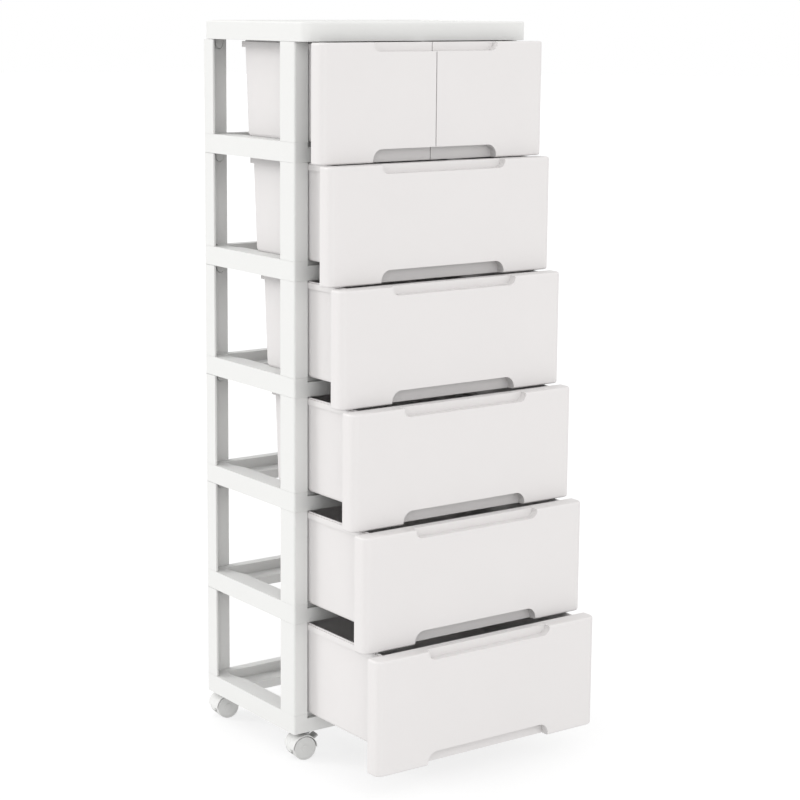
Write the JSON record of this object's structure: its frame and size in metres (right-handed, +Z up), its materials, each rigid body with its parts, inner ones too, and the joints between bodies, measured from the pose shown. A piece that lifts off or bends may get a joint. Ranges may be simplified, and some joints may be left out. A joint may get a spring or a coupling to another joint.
{
  "type": "plastic drawer tower",
  "caption": "Tall free-standing tower of moulded plastic drawers in an open post-and-deck frame, with a rimmed lid, capped fronts with finger pulls, and braked swivel casters.",
  "frame": {"origin": "middle of the tower's outline box at the floor, drawers as shown", "axes": "+Z up, drawers open towards -Y, +X to the right seen from the front"},
  "size_m": [0.4084, 0.4706, 1.1035],
  "materials": {
    "frame_plastic": "smooth injection-moulded polypropylene, satin white",
    "tub_plastic": "smooth injection-moulded polypropylene, satin white, slightly warm",
    "front_plastic": "smooth injection-moulded polypropylene, satin warm white",
    "housing_plastic": "glossy moulded nylon, white",
    "wheel_plastic": "moulded nylon, light grey",
    "brake_plastic": "moulded nylon, mid grey",
    "stem_steel": "plated steel"
  },
  "bodies": {
    "frame": {"lid": "frame_plastic", "deck_1": "frame_plastic", "deck_2": "frame_plastic", "deck_3": "frame_plastic", "deck_4": "frame_plastic", "deck_5": "frame_plastic", "base": "frame_plastic", "post_1_front_left": "frame_plastic", "post_1_front_right": "frame_plastic", "post_1_rear_left": "frame_plastic", "post_1_rear_right": "frame_plastic", "post_2_front_left": "frame_plastic", "post_2_front_right": "frame_plastic", "post_2_rear_left": "frame_plastic", "post_2_rear_right": "frame_plastic", "post_3_front_left": "frame_plastic", "post_3_front_right": "frame_plastic", "post_3_rear_left": "frame_plastic", "post_3_rear_right": "frame_plastic", "post_4_front_left": "frame_plastic", "post_4_front_right": "frame_plastic", "post_4_rear_left": "frame_plastic", "post_4_rear_right": "frame_plastic", "post_5_front_left": "frame_plastic", "post_5_front_right": "frame_plastic", "post_5_rear_left": "frame_plastic", "post_5_rear_right": "frame_plastic", "post_6_front_left": "frame_plastic", "post_6_front_right": "frame_plastic", "post_6_rear_left": "frame_plastic", "post_6_rear_right": "frame_plastic", "caster_stems": "stem_steel"},
    "drawer_1_left": {"drawer_1_left_tub": "tub_plastic", "drawer_1_left_front": "front_plastic"},
    "drawer_1_right": {"drawer_1_right_tub": "tub_plastic", "drawer_1_right_front": "front_plastic"},
    "drawer_2": {"drawer_2_tub": "tub_plastic", "drawer_2_front": "front_plastic"},
    "drawer_3": {"drawer_3_tub": "tub_plastic", "drawer_3_front": "front_plastic"},
    "drawer_4": {"drawer_4_tub": "tub_plastic", "drawer_4_front": "front_plastic"},
    "drawer_5": {"drawer_5_tub": "tub_plastic", "drawer_5_front": "front_plastic"},
    "drawer_6": {"drawer_6_tub": "tub_plastic", "drawer_6_front": "front_plastic"},
    "caster_front_left": {"caster_front_left_housing": "housing_plastic"},
    "caster_front_left_wheel_pair": {"caster_front_left_wheels": "wheel_plastic"},
    "caster_front_left_brake_lever": {"caster_front_left_brake": "brake_plastic"},
    "caster_front_right": {"caster_front_right_housing": "housing_plastic"},
    "caster_front_right_wheel_pair": {"caster_front_right_wheels": "wheel_plastic"},
    "caster_front_right_brake_lever": {"caster_front_right_brake": "brake_plastic"},
    "caster_rear_left": {"caster_rear_left_housing": "housing_plastic"},
    "caster_rear_left_wheel_pair": {"caster_rear_left_wheels": "wheel_plastic"},
    "caster_rear_left_brake_lever": {"caster_rear_left_brake": "brake_plastic"},
    "caster_rear_right": {"caster_rear_right_housing": "housing_plastic"},
    "caster_rear_right_wheel_pair": {"caster_rear_right_wheels": "wheel_plastic"},
    "caster_rear_right_brake_lever": {"caster_rear_right_brake": "brake_plastic"}
  },
  "joints": [
    {"name": "drawer_1_left_slide", "type": "slide", "parent": "frame", "child": "drawer_1_left", "axis": [0, -1, 0], "range_m": [-0.041, 0.159]},
    {"name": "drawer_1_right_slide", "type": "slide", "parent": "frame", "child": "drawer_1_right", "axis": [0, -1, 0], "range_m": [-0.041, 0.159]},
    {"name": "drawer_2_slide", "type": "slide", "parent": "frame", "child": "drawer_2", "axis": [0, -1, 0], "range_m": [-0.0635, 0.1365]},
    {"name": "drawer_3_slide", "type": "slide", "parent": "frame", "child": "drawer_3", "axis": [0, -1, 0], "range_m": [-0.0925, 0.1075]},
    {"name": "drawer_4_slide", "type": "slide", "parent": "frame", "child": "drawer_4", "axis": [0, -1, 0], "range_m": [-0.1225, 0.0775]},
    {"name": "drawer_5_slide", "type": "slide", "parent": "frame", "child": "drawer_5", "axis": [0, -1, 0], "range_m": [-0.1535, 0.0465]},
    {"name": "drawer_6_slide", "type": "slide", "parent": "frame", "child": "drawer_6", "axis": [0, -1, 0], "range_m": [-0.188, 0.012]},
    {"name": "caster_front_left_swivel", "type": "hinge", "parent": "frame", "child": "caster_front_left", "pos_m": [-0.1745, -0.00674, 0.032], "axis": [0, 0, 1], "continuous": true},
    {"name": "caster_front_left_roll", "type": "hinge", "parent": "caster_front_left", "child": "caster_front_left_wheel_pair", "pos_m": [-0.18194, -0.00583, 0.018], "axis": [0.1219, 0.9925, 0], "continuous": true},
    {"name": "caster_front_left_brake_tilt", "type": "hinge", "parent": "caster_front_left", "child": "caster_front_left_brake_lever", "pos_m": [-0.16656, -0.00772, 0.0275], "axis": [0.1219, 0.9925, 0], "range_deg": [0, 12]},
    {"name": "caster_front_right_swivel", "type": "hinge", "parent": "frame", "child": "caster_front_right", "pos_m": [0.1745, -0.00674, 0.032], "axis": [0, 0, 1], "continuous": true},
    {"name": "caster_front_right_roll", "type": "hinge", "parent": "caster_front_right", "child": "caster_front_right_wheel_pair", "pos_m": [0.18194, -0.00583, 0.018], "axis": [-0.1219, 0.9925, 0], "continuous": true},
    {"name": "caster_front_right_brake_tilt", "type": "hinge", "parent": "caster_front_right", "child": "caster_front_right_brake_lever", "pos_m": [0.16656, -0.00772, 0.0275], "axis": [0.1219, -0.9925, 0], "range_deg": [0, 12]},
    {"name": "caster_rear_left_swivel", "type": "hinge", "parent": "frame", "child": "caster_rear_left", "pos_m": [-0.1745, 0.21626, 0.032], "axis": [0, 0, 1], "continuous": true},
    {"name": "caster_rear_left_roll", "type": "hinge", "parent": "caster_rear_left", "child": "caster_rear_left_wheel_pair", "pos_m": [-0.18194, 0.21717, 0.018], "axis": [0.1219, 0.9925, 0], "continuous": true},
    {"name": "caster_rear_left_brake_tilt", "type": "hinge", "parent": "caster_rear_left", "child": "caster_rear_left_brake_lever", "pos_m": [-0.16656, 0.21528, 0.0275], "axis": [0.1219, 0.9925, 0], "range_deg": [0, 12]},
    {"name": "caster_rear_right_swivel", "type": "hinge", "parent": "frame", "child": "caster_rear_right", "pos_m": [0.1745, 0.21626, 0.032], "axis": [0, 0, 1], "continuous": true},
    {"name": "caster_rear_right_roll", "type": "hinge", "parent": "caster_rear_right", "child": "caster_rear_right_wheel_pair", "pos_m": [0.18194, 0.21717, 0.018], "axis": [-0.1219, 0.9925, 0], "continuous": true},
    {"name": "caster_rear_right_brake_tilt", "type": "hinge", "parent": "caster_rear_right", "child": "caster_rear_right_brake_lever", "pos_m": [0.16656, 0.21528, 0.0275], "axis": [0.1219, -0.9925, 0], "range_deg": [0, 12]}
  ]
}
